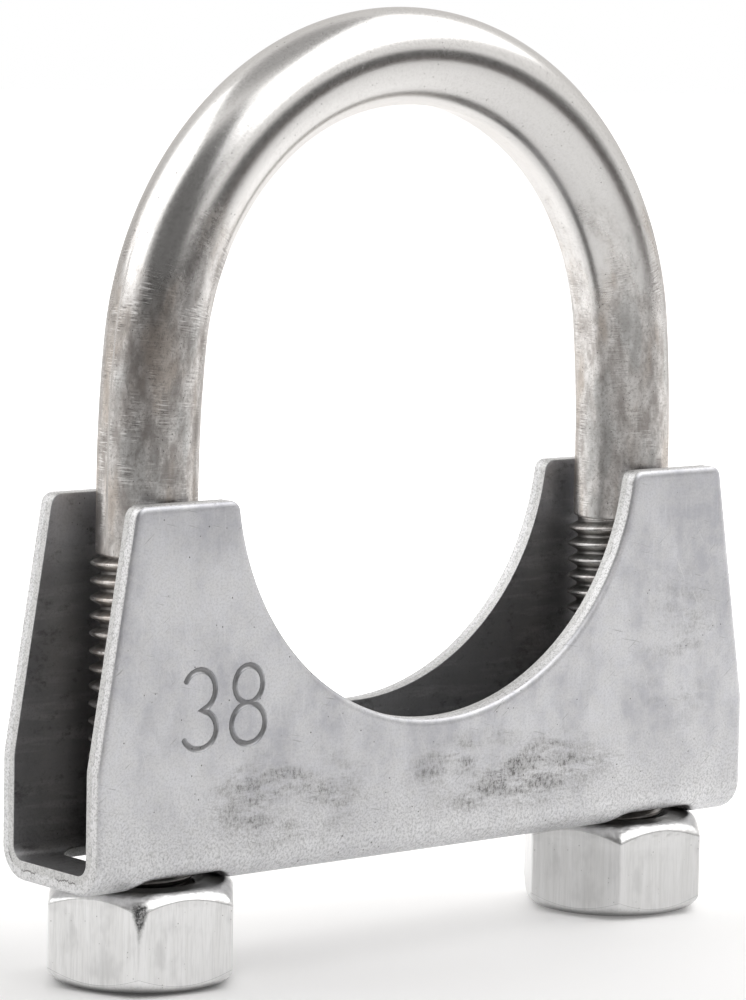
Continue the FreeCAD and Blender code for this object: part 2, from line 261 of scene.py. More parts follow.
def bent_rod():
    """Rings along the path, pressed flat on the inside of the arch, with their run lengths."""
    around = np.linspace(0, 2 * np.pi, ROD_COLUMNS, endpoint=False)
    rings, runs = [], []
    run = 0.0
    before = None
    for x, z, turn in bolt_path():
        if before is not None:
            run += math.hypot(x - before[0], z - before[1])
        before = (x, z)
        share = min(max((z - COIN_TIP_Z) / (COIN_FULL_Z - COIN_TIP_Z), 0.0), 1.0)
        depth = SEAT_DEPTH * share ** 0.75
        # around starts on the outside of the bend; inwards is half a turn on
        side = np.cos(around) * ROD_RADIUS
        across = np.sin(around) * ROD_RADIUS
        inward = -(side * math.cos(COIN_TURN) + across * math.sin(COIN_TURN))
        over = inward - (ROD_RADIUS - depth)
        press = 0.5 * (over + np.sqrt(over ** 2 + COIN_SOFTNESS ** 2)) if depth > 0 else 0 * over
        side = side + press * math.cos(COIN_TURN)
        across = across + press * math.sin(COIN_TURN)
        outward = (math.sin(turn), -math.cos(turn))
        rings.append(np.stack([x + side * outward[0], across, z + side * outward[1]], -1))
        runs.append(np.stack([np.full(ROD_COLUMNS, run), around, np.zeros(ROD_COLUMNS)], -1))
    return np.concatenate(rings), ring_faces(len(rings), ROD_COLUMNS), np.concatenate(runs)


def circles(section, angles, z):
    """Rings of points about the axis, one for each radius and rise above z."""
    return [np.stack([radius * np.cos(angles), radius * np.sin(angles),
                      np.full(len(angles), z + rise)], -1) for radius, rise in section]


def leg_angles(side):
    """Column angles about a leg that meet the bent rod's columns."""
    around = np.linspace(0, 2 * np.pi, ROD_COLUMNS, endpoint=False)
    return around if side > 0 else (np.pi - around) % (2 * np.pi)


def rod_radius(z, form):
    """The threaded leg's radius, from the chamfered end to the rim under the plain shank."""
    thread = ROOT_RADIUS + (CREST_RADIUS - ROOT_RADIUS) * form
    fade = np.clip((THREAD_TOP - z) / RUN_OUT, 0, 1)
    thread = np.where(z > THREAD_TOP - RUN_OUT,
                      ROOT_RADIUS + (thread - ROOT_RADIUS) * fade ** 0.7, thread)
    return np.minimum(thread, CREST_RADIUS - ROD_END_CHAMFER + (z - ROD_END_Z))


def threaded_leg(name):
    side = SIDES[name]
    angles = np.sort(leg_angles(side))
    start = THREAD_START[name]
    wall = thread_surface(ROD_END_Z, THREAD_TOP, start, angles, rod_radius)
    # the end face starts where the chamfered thread ends
    lead = ((angles - start) % (2 * np.pi)) / (2 * np.pi)
    first = rod_radius(np.full(ROD_COLUMNS, ROD_END_Z), thread_height(ROD_END_Z / PITCH - lead))
    rim = circles(RIM_SECTION, angles, THREAD_TOP)
    end = circles([(first, 0.0)] + DIMPLE_SECTION, angles, ROD_END_Z)
    shells = [wall] + [(np.concatenate(rings), ring_faces(len(rings), ROD_COLUMNS))
                       for rings in (rim, end)]
    points, faces = join_shells(shells)
    return points + np.array([side * LEG_X, 0, 0]), faces


def make_u_bolt():
    rod_points, rod_faces, runs = bent_rod()
    shells = [(rod_points, rod_faces)]
    extra = []
    total = runs[:, 0].max()
    for name in ("right", "left"):
        points, faces = threaded_leg(name)
        shells.append((points, faces))
        along = points[:, 2] - THREAD_TOP
        run = along if name == "right" else total - along
        off_axis = points[:, 0] - SIDES[name] * LEG_X
        about = np.arctan2(points[:, 1], SIDES[name] * off_axis)
        # how far a point lies down the thread's hollow, 0 at the crest and 1 at the root; the
        # finish paints shade by it
        hollow = (CREST_RADIUS - np.hypot(off_axis, points[:, 1])) / (CREST_RADIUS - ROOT_RADIUS)
        hollow = np.where(points[:, 2] < THREAD_TOP - 0.1, np.clip(hollow, 0, 1), 0)
        extra.append(np.stack([run, about % (2 * np.pi), hollow], -1))
    points, faces = join_shells(shells)
    piece = mesh_object("u_bolt_rod", points, faces)
    vector_attribute(piece, "run", np.concatenate([runs] + extra))
    clean_mesh(piece)
    return piece


# -------- the nuts

# columns from the middle of a corner to the middle of a side, in degrees
NUT_COLUMN_ANGLES = [0.0, 0.4, 0.8, 1.16, 1.8, 3.0, 5.0, 8.0, 11.5, 15.0, 18.8, 22.5, 26.2, 30.0]
# the flat part of a face: radius, depth below it
NUT_FACE_SECTION = [(NUT_SINK_RADIUS, 0.0), (NUT_SINK_RADIUS + 0.06, 0.0),
                    (NUT_FACE_RADIUS - 0.5, 0.0), (NUT_FACE_RADIUS - 0.12, 0.003)]
# the worn, domed chamfer round it
NUT_CHAMFER_DEPTH = 1.35
NUT_CHAMFER_POWER = 1.45
NUT_CHAMFER_TURNS = (5, 13, 22, 32, 43, 54, 65, 75, 83, 88, 90)
NUT_CHAMFER_START = 0.01
NUT_SIDE_START = 0.1


def nut_columns():
    """Angles about the nut, close together at its six corners."""
    around = [-angle for angle in NUT_COLUMN_ANGLES[-2:0:-1]] + NUT_COLUMN_ANGLES
    turned = [math.radians(60 * corner + angle) + NUT_TURN for corner in range(6)
              for angle in around]
    return np.sort(np.array(turned) % (2 * np.pi))


def hexagon_radius(angles):
    """Distance from the axis to the side of a hexagon with rounded corners."""
    away = np.abs((angles - NUT_TURN + np.pi / 6) % (np.pi / 3) - np.pi / 6)
    flat = NUT_HALF_FLATS / np.cos(np.pi / 6 - away)
    centre = (NUT_HALF_FLATS - NUT_CORNER_RADIUS) / math.cos(math.pi / 6)
    inside = np.clip(NUT_CORNER_RADIUS ** 2 - (centre * np.sin(away)) ** 2, 0, None)
    corner = centre * np.cos(away) + np.sqrt(inside)
    return np.where(inside > 0, np.minimum(flat, corner), flat)


def nut_radius(z, form):
    """The radius of the nut's bore: thread, opened by a countersink at each face."""
    thread = ROOT_RADIUS + (CREST_RADIUS - ROOT_RADIUS) * form + NUT_GAP
    thread = np.clip(thread, NUT_MINOR_RADIUS, NUT_MAJOR_RADIUS)
    slope = math.tan(NUT_CHAMFER)
    from_face = np.minimum(z, NUT_HEIGHT - z)
    return np.maximum(thread, NUT_SINK_RADIUS - from_face / slope)


def make_nut(side):
    angles = nut_columns()
    edge = hexagon_radius(angles)
    chamfer = edge - NUT_FACE_RADIUS
    drop = chamfer * math.tan(NUT_CHAMFER) * NUT_CHAMFER_DEPTH
    # one face, from the countersink out over the chamfer: radius and depth below the face
    half = [(np.full_like(edge, radius), np.full_like(edge, depth))
            for radius, depth in NUT_FACE_SECTION]
    for turn in NUT_CHAMFER_TURNS:
        out = math.sin(math.radians(turn)) ** (2 / NUT_CHAMFER_POWER)
        down = 1 - math.cos(math.radians(turn)) ** (2 / NUT_CHAMFER_POWER)
        half.append((NUT_FACE_RADIUS + chamfer * out, drop * down + NUT_CHAMFER_START))
    rim = [0.0] * (len(half) - 1) + [1.0, 0.0]
    half.append((edge, drop + NUT_SIDE_START))
    rows = [(radius, NUT_HEIGHT - depth) for radius, depth in half]
    rows += [(radius, depth) for radius, depth in half[::-1]]
    rings = [np.stack([radius * np.cos(angles), radius * np.sin(angles), height], -1)
             for radius, height in rows]
    body = np.concatenate(rings), ring_faces(len(rings), len(angles))
    bore = thread_surface(0.0, NUT_HEIGHT, THREAD_START[side], angles, nut_radius)
    points, faces = join_shells([body, bore])
    on_rim = np.zeros(points.shape)
    on_rim[:len(rings) * len(angles), 0] = np.repeat(rim + rim[::-1], len(angles))
    centre = np.array([SIDES[side] * LEG_X, 0, NUT_LOW[2]])
    piece = mesh_object("hex_nut_" + side, points + centre, faces)
    vector_attribute(piece, "local", points)
    vector_attribute(piece, "rim", on_rim)
    clean_mesh(piece)
    weighted_normals(piece)
    return piece


# -------- the saddle

NEUTRAL_RADIUS = BEND_OUTER - SHEET / 2
BEND_START = HALF_WIDTH - BEND_OUTER
WALL_START = BEND_START + NEUTRAL_RADIUS * math.pi / 2
BEND_STEPS = 18
SHARP_ANGLE = math.radians(38)

# a face of the flat blank belongs to its sheared edge if it is steeper and deeper than this
EDGE_UPRIGHT = 0.75
EDGE_DEPTH = 0.19
# the sheared edge's section: distance in from the outline, depth below the outer face
EDGE_SECTION = [(0.60, 0.0), (0.42, 0.012), (0.27, 0.045), (0.14, 0.11), (0.05, 0.2),
                (0.0, 0.33), (0.0, SHEET - 0.1), (0.025, SHEET - 0.03), (0.09, SHEET)]

# the stamped size: lower left corner, size of a figure, and the round stroke that presses it in
STAMP_LEFT = -23.9
STAMP_Z = BASE_Z + 9.9
FIGURE_HEIGHT = 5.6
FIGURE_WIDTH = 3.0
FIGURE_GAP = 1.35
STROKE_RADIUS = 0.25
STROKE_RISE = 0.09
STROKE_SIDES = 12
STROKE_SPIN = 0.13
STROKE_TIP = 0.8


def to_flat(z):
    """The developed distance from the middle line of a point on a wall."""
    return WALL_START + z - BASE_Z - BEND_OUTER


def arc(centre, radius, start, end, step=0.22):
    count = max(3, int(abs(end - start) * radius / step))
    return [(centre[0] + radius * math.cos(a), centre[1] + radius * math.sin(a))
            for a in np.linspace(start, end, count + 1)]


def rounded_corner(before, corner, after, radius):
    """The arc that rounds the corner between two straight runs."""
    corner = np.array(corner, float)
    to_before = np.array(before, float) - corner
    to_after = np.array(after, float) - corner
    to_before /= np.linalg.norm(to_before)
    to_after /= np.linalg.norm(to_after)
    half = math.acos(float(np.clip(to_before @ to_after, -1, 1))) / 2
    middle = to_before + to_after
    centre = corner + middle / np.linalg.norm(middle) * radius / math.sin(half)
    first = corner + to_before * radius / math.tan(half) - centre
    last = corner + to_after * radius / math.tan(half) - centre
    start = math.atan2(first[1], first[0])
    turn = math.atan2(first[0] * last[1] - first[1] * last[0], float(first @ last))
    return arc(centre, radius, start, start + turn, 0.12)


def quarter_outline():
    """A quarter of the flat blank's outline, from the end's middle to the seat's lowest point."""
    kink, top = to_flat(KINK_Z), to_flat(TAB_Z)
    pipe = to_flat(PIPE_Z)
    outline = [(END_X, s) for s in (0.0, 1.5, 3.0, 4.5, 6.0, 9.0)]
    outline += rounded_corner((END_X, 0), (END_X, kink), (TAB_X, top), KINK_RADIUS)
    outline += [(END_X + (TAB_X - END_X) * share, kink + (top - kink) * share)
                for share in (0.2, 0.4, 0.6, 0.8)]
    outline += rounded_corner((END_X, kink), (TAB_X, top), (0, top), TAB_RADIUS)
    # the tab's inner corner, between its straight top and the round seat
    below = top - TAB_RADIUS
    reach = PIPE_RADIUS + TAB_RADIUS
    corner_x = math.sqrt(reach ** 2 - (pipe - below) ** 2)
    towards = math.atan2(pipe - below, -corner_x)
    outline += [(corner_x + (TAB_X - corner_x) * share, top) for share in (0.75, 0.5, 0.25)]
    outline += arc((corner_x, below), TAB_RADIUS, math.pi / 2, towards, 0.1)
    begin = math.atan2(below - pipe, corner_x)
    outline += arc((0, pipe), PIPE_RADIUS, begin, -math.pi / 2, 0.45)[1:]
    return outline


def blank_outline():
    quarter = quarter_outline()
    upper = quarter + [(-x, s) for x, s in quarter[-2::-1]]
    return np.array(upper + [(x, -s) for x, s in upper[-2:0:-1]])


def hole_outline(leg_x):
    """An oblong hole round a leg, which runs up both bends."""
    half = BEND_START + NEUTRAL_RADIUS * HOLE_EDGE_ANGLE
    points = []
    corners = [(1, 1), (-1, 1), (-1, -1), (1, -1)]
    for quarter, (x_sign, s_sign) in enumerate(corners):
        centre = (leg_x + x_sign * (HOLE_HALF_LENGTH - HOLE_RADIUS),
                  s_sign * (half - HOLE_RADIUS))
        start = quarter * math.pi / 2
        points += arc(centre, HOLE_RADIUS, start, start + math.pi / 2, 0.2)
    return np.array(points)


def loop_normals(loop):
    """The unit normal at each point of a counter-clockwise loop, pointing out of it."""
    before = loop - np.roll(loop, 1, 0)
    after = np.roll(loop, -1, 0) - loop
    before /= np.linalg.norm(before, axis=1)[:, None]
    after /= np.linalg.norm(after, axis=1)[:, None]
    along = before + after
    along /= np.linalg.norm(along, axis=1)[:, None]
    return np.stack([along[:, 1], -along[:, 0]], -1)


def edge_rings(loop, inwards):
    """The sheared edge as rings: the loop moved into the sheet by each step of the section."""
    normals = loop_normals(loop) * inwards
    return [np.column_stack([loop + normals * offset, np.full(len(loop), depth)])
            for offset, depth in EDGE_SECTION]


def stamp_strokes():
    """The centre lines of the stamped size, two figures, on the wall's outer face."""
    def figure(points, place):
        left = STAMP_LEFT + place * (FIGURE_WIDTH + FIGURE_GAP)
        return [(left + x * FIGURE_WIDTH, -to_flat(STAMP_Z) - y * FIGURE_HEIGHT)
                for x, y in points]

    def bow(cx, cy, rx, ry, start, end, count):
        return [(cx + rx * math.cos(a), cy + ry * math.sin(a))
                for a in np.radians(np.linspace(start, end, count))]

    three = bow(0.5, 0.745, 0.46, 0.255, 155, -90, 15)
    three += bow(0.5, 0.245, 0.5, 0.245, 90, -155, 16)[1:]
    upper_eight = bow(0.5, 0.76, 0.42, 0.24, 0, 360, 22)
    lower_eight = bow(0.5, 0.26, 0.5, 0.26, 0, 360, 24)
    return [figure(three, 0), figure(upper_eight, 1), figure(lower_eight, 1)]


def stamp_tool():
    """Round rods along the strokes, part sunk into the outer face, to press the figures in."""
    shells = []
    for stroke in stamp_strokes():
        stroke = np.array(stroke)
        closed = np.linalg.norm(stroke[0] - stroke[-1]) < 1e-6
        if closed:
            stroke = stroke[:-1]
        count = len(stroke)
        along = np.roll(stroke, -1, 0) - np.roll(stroke, 1, 0)
        if not closed:
            along[0] = stroke[1] - stroke[0]
            along[-1] = stroke[-1] - stroke[-2]
        along /= np.linalg.norm(along, axis=1)[:, None]
        across = np.stack([-along[:, 1], along[:, 0]], -1)
        spin = np.linspace(0, 2 * np.pi, STROKE_SIDES, endpoint=False) + STROKE_SPIN
        reach = (np.cos(spin) * STROKE_RADIUS)[:, None]
        depth = np.sin(spin) * STROKE_RADIUS - STROKE_RISE
        points = np.concatenate([np.column_stack([centre + side * reach, depth])
                                 for centre, side in zip(stroke, across)])
        # a closed stroke's last ring joins its first
        faces = [tuple(corner % len(points) for corner in quad)
                 for quad in ring_faces(count + closed, STROKE_SIDES)]
        if not closed:
            for row, way in ((0, -1), (count - 1, 1)):
                tip = len(points)
                point = stroke[row] + along[row] * way * STROKE_RADIUS * STROKE_TIP
                points = np.vstack([points, np.append(point, -STROKE_RISE)])
                ring = [row * STROKE_SIDES + column for column in range(STROKE_SIDES)]
                faces += [(a, b, tip) for a, b in zip(ring, ring[1:] + ring[:1])]
        shells.append((points, faces))
    points, faces = join_shells(shells)
    tool = mesh_object("stamp_tool", points, faces)
    clean_mesh(tool)
    return tool


def flat_blank():
    """The saddle's flat blank, with its sheared edges and holes: x, developed s, depth n."""
    loops = [edge_rings(blank_outline(), -1)]
    loops += [edge_rings(hole_outline(x), 1) for x in (-LEG_X, LEG_X)]
    data = bmesh.new()
    for face_index in (0, -1):
        borders = []
        for rings in loops:
            corners = [data.verts.new(point * MM) for point in rings[face_index]]
            borders += [data.edges.new((corners[i - 1], corners[i])) for i in range(len(corners))]
        bmesh.ops.triangle_fill(data, edges=borders, use_beauty=True, use_dissolve=False)
    for rings in loops:
        count = len(rings[0])
        rows = [[data.verts.new(point * MM) for point in ring] for ring in rings]
        for low, high in zip(rows, rows[1:]):
            for i in range(count):
                data.faces.new((low[i - 1], low[i], high[i], high[i - 1]))
    bmesh.ops.remove_doubles(data, verts=data.verts, dist=1e-6)
    bmesh.ops.recalc_face_normals(data, faces=data.faces)
    mesh = bpy.data.meshes.new("saddle_body")
    data.to_mesh(mesh)
    data.free()
    return new_object("saddle_body", mesh)


def press_stamp(piece):
    tool = stamp_tool()
    modifier = piece.modifiers.new("stamp", "BOOLEAN")
    modifier.operation = "DIFFERENCE"
    modifier.solver = "EXACT"
    modifier.use_self = True
    modifier.object = tool
    stamped = piece.evaluated_get(bpy.context.evaluated_depsgraph_get())
    mesh = bpy.data.meshes.new_from_object(stamped)
    piece.modifiers.clear()
    piece.data = mesh
    bpy.data.objects.remove(tool)


def bend(piece):
    """Fold the flat blank into its channel, keeping the flat coordinates for the finish."""
    data = bmesh.new()
    data.from_mesh(piece.data)
    lines = [BEND_START + (WALL_START - BEND_START) * step / BEND_STEPS
             for step in range(BEND_STEPS + 1)]
    for line in lines + [-line for line in lines]:
        everything = list(data.verts) + list(data.edges) + list(data.faces)
        bmesh.ops.bisect_plane(data, geom=everything, dist=1e-7,
                               plane_co=(0, line * MM, 0), plane_no=(0, 1, 0))
    data.to_mesh(piece.data)
    data.free()
    flat = coordinates(piece)
    for polygon in piece.data.polygons:
        depth = polygon.center.z / MM
        polygon.material_index = int(abs(polygon.normal.z) < EDGE_UPRIGHT and depth > EDGE_DEPTH)
    x, s, n = flat.T
    away = np.abs(s)
    angle = np.clip((away - BEND_START) / NEUTRAL_RADIUS, 0, np.pi / 2)
    radius = BEND_OUTER - n
    y = np.minimum(away, BEND_START) + radius * np.sin(angle)
    z = BASE_Z + BEND_OUTER - radius * np.cos(angle) + np.clip(away - WALL_START, 0, None)
    bent = np.stack([x, y * np.sign(s), z], -1) * MM
    piece.data.vertices.foreach_set("co", bent.astype(np.float32).ravel())
    piece.data.update()
    vector_attribute(piece, "flat", flat)


def make_saddle():
    piece = flat_blank()
    press_stamp(piece)
    bend(piece)
    data = bmesh.new()
    data.from_mesh(piece.data)
    bmesh.ops.dissolve_degenerate(data, edges=data.edges, dist=1e-7)
    bmesh.ops.recalc_face_normals(data, faces=data.faces)
    data.to_mesh(piece.data)
    data.free()
    piece.data.shade_smooth()
    piece.data.set_sharp_from_angle(angle=SHARP_ANGLE)
    weighted_normals(piece)
    return piece


# -------- finishes

class Nodes:
    """Short ways to add the nodes of one tree and link them."""

    def __init__(self, tree):
        self.tree = tree

    def add(self, kind, *ordered, props=None, **named):
        """A node with these properties, and with its inputs, by order or by name, set or linked."""
        node = self.tree.nodes.new(kind)
        for key, value in (props or {}).items():
            setattr(node, key, value)
        for key, value in list(enumerate(ordered)) + list(named.items()):
            if isinstance(value, bpy.types.NodeSocket):
                self.tree.links.new(value, node.inputs[key])
            elif value is not None:
                node.inputs[key].default_value = value
        return node

    def math(self, operation, a, b=None):
        return self.add("ShaderNodeMath", a, b, props={"operation": operation}).outputs[0]

    def plus(self, a, b):
        return self.math("ADD", a, b)

    def minus(self, a, b):
        return self.math("SUBTRACT", a, b)

    def times(self, a, b):
        return self.math("MULTIPLY", a, b)

    def vector_math(self, operation, a, b=None):
        """The vector result and the number result."""
        return self.add("ShaderNodeVectorMath", a, b, props={"operation": operation}).outputs

    def attribute(self, name):
        return self.add("ShaderNodeAttribute", props={"attribute_name": name}).outputs["Vector"]

    def split(self, vector):
        return self.add("ShaderNodeSeparateXYZ", vector).outputs

    def join(self, x, y, z):
        return self.add("ShaderNodeCombineXYZ", x, y, z).outputs[0]

    def noise(self, vector, scale, detail=2.0, roughness=0.5):
        """Noise from 0 to 1. Three numbers as its scale stretch it along the axes."""
        if isinstance(scale, tuple):
            vector = self.vector_math("MULTIPLY", vector, scale)[0]
            scale = 1.0
        return self.add("ShaderNodeTexNoise", Vector=vector, Scale=scale, Detail=detail,
                        Roughness=roughness).outputs["Fac"]

    def ramp(self, value, low, high, to_low=0.0, to_high=1.0):
        """A smooth step, from to_low where the value is low to to_high where it is high."""
        return self.add("ShaderNodeMapRange", value, low, high, to_low, to_high,
                        props={"interpolation_type": "SMOOTHSTEP"}).outputs[0]

    def mix(self, share, a, b):
        """The colour that is a where share is 0 and b where it is 1. A number is a grey."""
        node = self.add("ShaderNodeMix", share, props={"data_type": "RGBA"})
        for socket, value in ((node.inputs[6], a), (node.inputs[7], b)):
            if isinstance(value, bpy.types.NodeSocket):
                self.tree.links.new(value, socket)
            else:
                red, green, blue = value if isinstance(value, tuple) else (value,) * 3
                socket.default_value = (red, green, blue, 1.0)
        return node.outputs[2]

    def layers(self, colour, layers):
        """A colour with others laid over it: where each is, how strong it is there, the other."""
        for where, strength, other in layers:
            colour = self.mix(self.times(where, strength), colour, other)
        return colour

    def between(self, share, a, b):
        """The number that is a where share is 0 and b where it is 1."""
        return self.plus(a, self.times(share, self.minus(b, a)))


class Finish(Nodes):
    """A finish: a Principled shader whose colour, roughness and bump come from nodes."""

    def __init__(self, name, metallic=1.0):
        self.material = bpy.data.materials.new(name)
        self.material.use_nodes = True
        super().__init__(self.material.node_tree)
        self.tree.nodes.clear()
        self.shader = self.add("ShaderNodeBsdfPrincipled", Metallic=metallic)
        self.add("ShaderNodeOutputMaterial", self.shader.outputs[0])
        self.place = self.add("ShaderNodeTexCoord").outputs["Object"]

    def bump(self, height, distance, normal=None):
        """A bump of a height from 0 to 1 over a distance in millimetres."""
        return self.add("ShaderNodeBump", Height=height, Distance=distance * MM, Strength=1.0,
                        Normal=normal).outputs[0]

    def finish(self, colour, roughness, normal):
        for socket, value in (("Base Color", colour), ("Roughness", roughness),
                              ("Normal", normal)):
            self.tree.links.new(value, self.shader.inputs[socket])
        return self.material

    def specks(self, vector, scale, size, share):
        """Small separate pits: 1 inside them. share is how many of the cells have one."""
        cells = self.add("ShaderNodeTexVoronoi", Vector=vector, Scale=scale).outputs["Distance"]
        inside = self.ramp(cells, size, size * 0.4)
        chosen = self.ramp(self.noise(vector, scale * 0.31, 1.0), 1 - share, 1 - share + 0.04)
        return self.times(inside, chosen)

    def hairlines(self, x, y, angle, length, level):
        """Fine straight scratches, all along one direction: 1 on them."""
        a = math.radians(angle)
        fineness = 8.0
        along = self.plus(self.times(x, math.cos(a) / length), self.times(y, math.sin(a) / length))
        across = self.plus(self.times(x, -math.sin(a) * fineness),
                           self.times(y, math.cos(a) * fineness))
        layer = angle * 0.7
        lines = self.noise(self.join(along, across, layer), 1.0, 1.0)
        return self.ramp(lines, level, level + 0.05)

    def patch(self, x, y, centre, half):
        """1 in the middle of a soft ellipse, 0 outside it."""
        across = self.math("DIVIDE", self.minus(x, centre[0]), half[0])
        up = self.math("DIVIDE", self.minus(y, centre[1]), half[1])
        return self.ramp(self.plus(self.times(across, across), self.times(up, up)), 1.0, 0.0)


# the dull part of the rod starts and is full at these heights, and its border wanders
DULL_START_Z = ARCH_Z + 13.0
DULL_FULL_Z = ARCH_Z + 1.0
DULL_WANDER = 26.0
# the leg at -X is handled more than the other, with a soft change over the arch
GRIPPED_X = 12.0


def drawn_steel():
    """Polished stainless wire: bright over the arch, dull and handled on the legs."""
    f = Finish("bright_steel")
    # keeps the rod's outline from turning white where it is seen at a grazing angle
    f.shader.inputs["Specular Tint"].default_value = (0.72, 0.71, 0.70, 1.0)
    run, about, hollow = f.split(f.attribute("run"))
    place_x, _, place_z = f.split(f.place)
    height = f.math("DIVIDE", place_z, MM)
    # noise tears at the seam of the angle, so the ring is laid out as a circle
    ring_x = f.times(f.math("COSINE", about), ROD_RADIUS)
    ring_y = f.times(f.math("SINE", about), ROD_RADIUS)
    along = f.join(run, ring_x, ring_y)
    cloud = f.noise(along, (0.22, 0.4, 0.4), 4.0, 0.6)
    grain = f.noise(along, 4.6, 4.0, 0.8)
    streak = f.noise(along, (0.16, 2.4, 2.4), 3.0, 0.6)
    scuff = f.noise(along, (11.0, 0.8, 0.8), 2.0, 0.6)
    leg = f.plus(height, f.times(f.minus(cloud, 0.5), DULL_WANDER))
    dull = f.ramp(leg, DULL_START_Z, DULL_FULL_Z)
    scraped = f.times(f.ramp(f.noise(along, (0.35, 0.6, 0.6)), 0.44, 0.60),
                      f.ramp(f.noise(along, (0.12, 0.30, 0.30), 1.0), 0.42, 0.56, 0.2, 1.0))
    scraped = f.times(scraped, f.ramp(dull, 0.0, 0.8, 0.10, 1.0))
    bright_scratch = f.times(f.ramp(scuff, 0.56, 0.66), scraped)
    dark_scratch = f.times(f.ramp(scuff, 0.44, 0.34), scraped)
    pits = f.specks(along, 2.3, 0.15, 0.47)
    gripped = f.times(f.ramp(f.math("DIVIDE", place_x, MM), GRIPPED_X, -GRIPPED_X),
                      f.ramp(f.noise(along, (0.26, 0.55, 0.55), 5.0, 0.7), 0.50, 0.62))

    bright = f.mix(streak, (0.63, 0.62, 0.61), (0.71, 0.70, 0.69))
    mottle = f.ramp(f.noise(along, (0.5, 1.1, 1.1), 4.0, 0.65), 0.32, 0.68)
    hue = f.noise(along, (0.13, 0.45, 0.45))
    handled = f.layers(f.mix(mottle, (0.375, 0.35, 0.335), (0.69, 0.675, 0.66)), [
        (f.ramp(hue, 0.52, 0.66), 0.55, (0.50, 0.435, 0.375)),
        (f.ramp(hue, 0.48, 0.36), 0.35, (0.44, 0.465, 0.47)),
        (gripped, 0.55, (0.25, 0.235, 0.225)),
    ])
    colour = f.layers(f.mix(dull, bright, handled), [
        (f.ramp(grain, 0.54, 0.30), f.ramp(dull, 0.0, 1.0, 0.22, 0.85), (0.29, 0.275, 0.26)),
        (bright_scratch, 0.6, (0.97, 0.96, 0.95)),
        (dark_scratch, 0.66, (0.14, 0.13, 0.125)),
        (pits, 0.8, (0.10, 0.095, 0.09)),
        # painted shade: the thread's roots are coloured darker, by how deep they lie in the hollow
        (f.ramp(hollow, 0.15, 0.95), 0.72, (0.16, 0.155, 0.15)),
        # painted shade: the rod darkens from 4 mm above the saddle's base downwards, down the
        # channel, through the hole and into the nuts
        (f.ramp(height, BASE_Z + 4.0, BASE_Z + 0.8), 0.7, (0.10, 0.098, 0.095)),
    ])
    rough = f.plus(f.ramp(dull, 0.0, 1.0, 0.20, 0.33), f.times(f.minus(grain, 0.5), 0.16))
    rough = f.plus(rough, f.times(bright_scratch, 0.18))
    relief = f.plus(f.times(grain, f.ramp(dull, 0.0, 1.0, 0.5, 1.5)), f.times(streak, 0.2))
    relief = f.plus(relief, f.times(scuff, f.ramp(scraped, 0.0, 0.8, 0.25, 1.5)))
    relief = f.minus(relief, f.times(pits, 1.6))
    return f.finish(colour, rough, f.bump(relief, 0.006))


# rubbed stains on the walls: x and distance from the middle line, half sizes, strength
SMUDGES = [
    ((6.5, WALL_START + 3.2), (13.0, 3.8), 1.0),
    ((-14.5, WALL_START + 3.2), (9.0, 4.2), 0.8),
    ((24.0, WALL_START + 11.0), (5.5, 7.5), 0.35),
]
BACK_SMUDGE = 0.45
STAMP_CENTRE = (-20.2, -to_flat(BASE_Z + 12.7))
STAMP_HALF = (6.5, 6.0)


